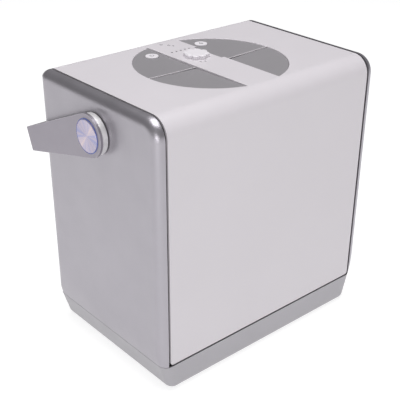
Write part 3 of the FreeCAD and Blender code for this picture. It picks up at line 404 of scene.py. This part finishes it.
def light_ring(side, word):
    low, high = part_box(word + "_light_ring")
    base = min(abs(low.x), abs(high.x))
    top = max(abs(low.x), abs(high.x)) - base
    outer = (high.z - low.z) / 2
    inner = (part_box(word + "_hub_disc")[1].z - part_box(word + "_hub_disc")[0].z) / 2 + 0.00002
    mid = (outer + inner) / 2
    half = (outer - inner) / 2
    profile = [(inner, 0.0), (outer, 0.0)]
    for i in range(9):
        a = math.pi * i / 8
        profile.append((mid + half * math.cos(a), top - 0.0004 + 0.0004 * math.sin(a)))
    bm = lathe(profile, outward(side, side * base), 128)
    obj = add_object(word + "_light_guide", mesh_from(bm, word + "_light_guide"), RING, "handle")
    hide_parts(word + "_light_ring")


SPUN = spun_material()
RING = ring_material()
for side, word in ((-1, "left"), (1, "right")):
    hub_disc(side, word)
    light_ring(side, word)


# ---------------------------------------------------------------- printed marks

PRINT_LINE = 0.0005
PRINT_SINK = 0.00004
PRINT_RISE = 0.00006
BAR_SIGNS = ((-0.0088, 0.0050), (-0.0041, 0.0032), (0.0036, 0.0660))
DROP_SIGN = (-0.0040, 0.0780)
MOON_SIGN = (0.0016, 0.0710)


def stroke(bm, points, width, low, high, closed=False):
    """A printed line: a flat strip of even width along a path."""
    count = len(points)
    sections = []
    for i, point in enumerate(points):
        before = points[i - 1] if closed or i > 0 else point
        after = points[(i + 1) % count] if closed or i < count - 1 else point
        along = (Vector(after) - Vector(before)).normalized()
        off = Vector((-along.y, along.x)) * width / 2
        section = []
        for sign, z in ((1, low), (-1, low), (-1, high), (1, high)):
            section.append(bm.verts.new((point[0] + sign * off.x, point[1] + sign * off.y, z)))
        sections.append(section)
    pairs = list(zip(sections, sections[1:]))
    if closed:
        pairs.append((sections[-1], sections[0]))
    else:
        bm.faces.new(sections[0])
        bm.faces.new(sections[-1])
    for first, second in pairs:
        for i in range(4):
            k = (i + 1) % 4
            bm.faces.new((first[i], first[k], second[k], second[i]))


def ring_points(x, y, radius, start=0.0, end=360.0, steps=40):
    closed = end - start >= 360
    count = steps if closed else steps + 1
    angles = [math.radians(start + (end - start) * i / steps) for i in range(count)]
    return [(x + radius * math.cos(a), y + radius * math.sin(a)) for a in angles]


def button_top(node):
    """The middle of a button's top, and the lowest and highest level of the print on it."""
    low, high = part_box(node)
    return (low.x + high.x) / 2, (low.y + high.y) / 2, high.z - PRINT_SINK, high.z + PRINT_RISE


def power_mark():
    """A ring open at the top with a short bar: the usual on/off sign."""
    x, y, z0, z1 = button_top("power_button")
    bm = bmesh.new()
    stroke(bm, ring_points(x, y, 0.0023, 125, 415), PRINT_LINE, z0, z1)
    stroke(bm, [(x, y + 0.0006), (x, y + 0.0018), (x, y + 0.0030)], PRINT_LINE, z0, z1)
    add_object("power_mark", mesh_from(bm, "power_mark"), MARK, "power_button")


def drop_points(x, y, size):
    """A water drop: a round bottom drawn up to a point."""
    points = ring_points(x, y - 0.25 * size, 0.62 * size, 155, 385, 28)
    return points + [(x + 0.22 * size, y + 0.55 * size), (x, y + size), (x - 0.22 * size, y + 0.55 * size)]


def mode_mark():
    """A drop outline with a small wave inside: the mist sign."""
    x, y, z0, z1 = button_top("mode_button")
    bm = bmesh.new()
    stroke(bm, drop_points(x, y, 0.0030), PRINT_LINE, z0, z1, closed=True)
    wave = [(x + 0.00018 * i, y - 0.0008 + 0.0003 * math.sin(i * 0.9)) for i in range(-6, 7)]
    stroke(bm, wave, 0.0004, z0, z1)
    add_object("mode_mark", mesh_from(bm, "mode_mark"), MARK, "mode_button")


def band_marks():
    """Small printed signs on the band, around the row of lights and in front of the nozzle."""
    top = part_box("front_top_shell")[1].z
    z0 = top - PRINT_SINK
    z1 = top + PRINT_RISE
    bm = bmesh.new()
    x, y = DROP_SIGN
    stroke(bm, drop_points(x, BODY_Y + y, 0.0021), PRINT_LINE, z0, z1, closed=True)
    x, y = MOON_SIGN
    moon = ring_points(x, BODY_Y + y, 0.0017, 60, 300, 24)
    moon += reversed(ring_points(x + 0.0006, BODY_Y + y, 0.0012, 85, 275, 20))
    stroke(bm, moon, 0.0004, z0, z1, closed=True)
    for x, y in BAR_SIGNS:
        for i in range(3):
            half = 0.0005 + 0.0004 * i
            line = BODY_Y + y + 0.0010 * (i - 1)
            stroke(bm, [(x - half, line), (x, line), (x + half, line)], PRINT_LINE, z0, z1)
    add_object("band_marks", mesh_from(bm, "band_marks"), MARK, "housing")


# ---------------------------------------------------------------- screws with cross recesses

HEAD_R = 0.0030
THREAD_R = 0.0015
THREAD_ROOT = 0.0012
THREAD_PITCH = 0.0006
RECESS_DEPTH = 0.0009


def islands(node):
    """Lowest and highest corners of each separate piece of a node."""
    bm = bmesh.new()
    bm.from_mesh(frame["nodes"][node].data)
    bmesh.ops.remove_doubles(bm, verts=bm.verts, dist=1e-7)
    left = set(bm.verts)
    found = []
    while left:
        start = left.pop()
        piece = [start]
        queue = [start]
        while queue:
            for edge in queue.pop().link_edges:
                for vert in edge.verts:
                    if vert in left:
                        left.discard(vert)
                        piece.append(vert)
                        queue.append(vert)
        low = Vector([min(v.co[i] for v in piece) for i in range(3)])
        high = Vector([max(v.co[i] for v in piece) for i in range(3)])
        found.append((low, high))
    bm.free()
    return found


def cross_outline(reach, half):
    points = []
    for turn in range(4):
        a = turn * math.pi / 2
        for x, y in ((half, half), (half, reach), (-half, reach)):
            points.append((x * math.cos(a) - y * math.sin(a), x * math.sin(a) + y * math.cos(a)))
    return points


def add_screw(bm, place, head_r, head_h, length):
    """A pan-head screw pointing down its own Z axis, its head's top at height 0."""
    def ring(radius, z, steps=32):
        turns = [2 * math.pi * i / steps for i in range(steps)]
        return [bm.verts.new(place @ Vector((radius * math.cos(a), radius * math.sin(a),
                                             z))) for a in turns]

    rim = ring(head_r * 0.86, 0.0)
    side = ring(head_r, -head_h * 0.3)
    under = ring(head_r, -head_h)
    rings = [rim, side, under, ring(THREAD_R, -head_h)]
    turns = int((length - head_h) / THREAD_PITCH)
    for i in range(turns):
        z = -head_h - THREAD_PITCH * i
        rings.append(ring(THREAD_ROOT, z - THREAD_PITCH * 0.5))
        rings.append(ring(THREAD_R, z - THREAD_PITCH))
    rings.append(ring(0.0004, -length))
    for low, high in zip(rings, rings[1:]):
        join_rings(bm, low, high)
    bm.faces.new(rings[-1])
    cross = cross_outline(head_r * 0.6, head_r * 0.12)
    top = [bm.verts.new(place @ Vector((x, y, 0))) for x, y in cross]
    deep = [bm.verts.new(place @ Vector((x * 0.8, y * 0.8, -RECESS_DEPTH))) for x, y in cross]
    join_rings(bm, top, deep)
    bm.faces.new(deep)
    loops = []
    for loop in (rim, top):
        for a, b in zip(loop, loop[1:] + loop[:1]):
            loops.append(bm.edges.get((a, b)) or bm.edges.new((a, b)))
    bmesh.ops.triangle_fill(bm, edges=loops, use_beauty=True)


def screws(node, name, turn, head_r, head_h, along):
    bm = bmesh.new()
    for low, high in islands(node):
        mid = (low + high) / 2
        length = high[along] - low[along]
        mid[along] = high[along] if along == 1 else low[along]
        add_screw(bm, Matrix.Translation(mid) @ turn, head_r, head_h, length)
    obj = add_object(name, mesh_from(bm, name), STEEL, "housing")
    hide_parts(node)


power_mark()
mode_mark()
band_marks()
screws("rear_screws", "rear_cross_screws", Matrix.Rotation(-math.pi / 2, 4, "X"), HEAD_R, 0.0010, 1)
screws("base_screws", "base_cross_screws", Matrix.Rotation(math.pi, 4, "X"), HEAD_R, 0.0018, 2)


# ---------------------------------------------------------------- floor, light, camera

def floor_material():
    mat, tree, shader = new_material("pale_floor")
    coord = tree.nodes.new("ShaderNodeTexCoord")
    tex = noise(tree, coord, 3.0, 2.0)
    gloss = spread(tree, tex, 0.75, 0.85)
    link(tree, gloss, "Result", shader, "Roughness")
    shader.inputs["Base Color"].default_value = (0.42, 0.42, 0.42, 1.0)
    shader.inputs["Emission Color"].default_value = (1.0, 1.0, 1.0, 1.0)
    shader.inputs["Emission Strength"].default_value = 0.78
    shader.inputs["Specular IOR Level"].default_value = 0.1
    return mat


def make_floor():
    mesh = bpy.data.meshes.new("floor")
    reach = 14.0
    corners = [(-reach, -reach, 0), (reach, -reach, 0), (reach, reach, 0), (-reach, reach, 0)]
    mesh.from_pydata(corners, [], [(0, 1, 2, 3)])
    mesh.materials.append(floor_material())
    floor = bpy.data.objects.new("floor", mesh)
    bpy.context.scene.collection.objects.link(floor)


def area_light(name, place, aim, size, power, color=(1, 1, 1)):
    data = bpy.data.lights.new(name, "AREA")
    data.shape = "RECTANGLE"
    data.size, data.size_y = size
    data.energy = power
    data.color = color
    light = bpy.data.objects.new(name, data)
    bpy.context.scene.collection.objects.link(light)
    light.location = place
    direction = Vector(aim) - Vector(place)
    light.rotation_euler = direction.to_track_quat("-Z", "Y").to_euler()
    return light


def make_world():
    """Dim, nearly even light all round, falling off slightly high up at the back left."""
    world = bpy.data.worlds.new("studio")
    bpy.context.scene.world = world
    world.use_nodes = True
    tree = world.node_tree
    background = tree.nodes["Background"]
    coord = tree.nodes.new("ShaderNodeTexCoord")
    dot = tree.nodes.new("ShaderNodeVectorMath")
    dot.operation = "DOT_PRODUCT"
    dot.inputs[1].default_value = Vector((-0.47, 0.66, 0.58)).normalized()
    link(tree, coord, "Generated", dot, 0)
    ramp = tree.nodes.new("ShaderNodeMapRange")
    ramp.interpolation_type = "SMOOTHSTEP"
    ramp.inputs["From Min"].default_value = 0.2
    ramp.inputs["From Max"].default_value = 0.92
    ramp.inputs["To Min"].default_value = 0.21
    ramp.inputs["To Max"].default_value = 0.19
    link(tree, dot, "Value", ramp, "Value")
    link(tree, ramp, "Result", background, "Strength")
    background.inputs["Color"].default_value = (1.0, 0.99, 1.0, 1.0)


CAMERA_AZIMUTH = math.radians(-40.981)
CAMERA_ELEVATION = math.radians(29.336)
CAMERA_ROLL = math.radians(0.291)
AIM_Z = 0.15488
AIM_DISTANCE = 0.961306
AIM_LEFT = 0.009859
AIM_DOWN = 0.041837
LENS_MM = 76.362
SHIFT_X = -0.0011
SHIFT_Y = 0.07148


def make_camera():
    azimuth = CAMERA_AZIMUTH
    elevation = CAMERA_ELEVATION
    back = Vector((math.sin(azimuth) * math.cos(elevation), -math.cos(azimuth) * math.cos(elevation),
                   math.sin(elevation)))
    across = Vector((math.cos(azimuth), math.sin(azimuth), 0))
    up = across.cross(-back)
    right = across * math.cos(CAMERA_ROLL) + up * math.sin(CAMERA_ROLL)
    top = up * math.cos(CAMERA_ROLL) - across * math.sin(CAMERA_ROLL)
    target = Vector((0, BODY_Y, AIM_Z))
    data = bpy.data.cameras.new("camera")
    camera = bpy.data.objects.new("camera", data)
    bpy.context.scene.collection.objects.link(camera)
    place = target + back * AIM_DISTANCE - right * AIM_LEFT - top * AIM_DOWN
    camera.matrix_world = Matrix((
        (right.x, top.x, back.x, place.x),
        (right.y, top.y, back.y, place.y),
        (right.z, top.z, back.z, place.z),
        (0, 0, 0, 1),
    ))
    data.sensor_width = 36.0
    data.lens = LENS_MM
    data.shift_x = SHIFT_X
    data.shift_y = SHIFT_Y
    data.clip_end = 100
    bpy.context.scene.camera = camera


make_floor()
make_world()
make_camera()
area_light("top", (-0.08, -0.15, 2.1), (0, 0, 0.25), (1.5, 1.5), 35.0)
area_light("low_left", (-1.5, -1.3, 0.35), (0, 0, 0.12), (0.8, 0.5), 7.0)
bpy.context.scene.view_settings.view_transform = "Standard"
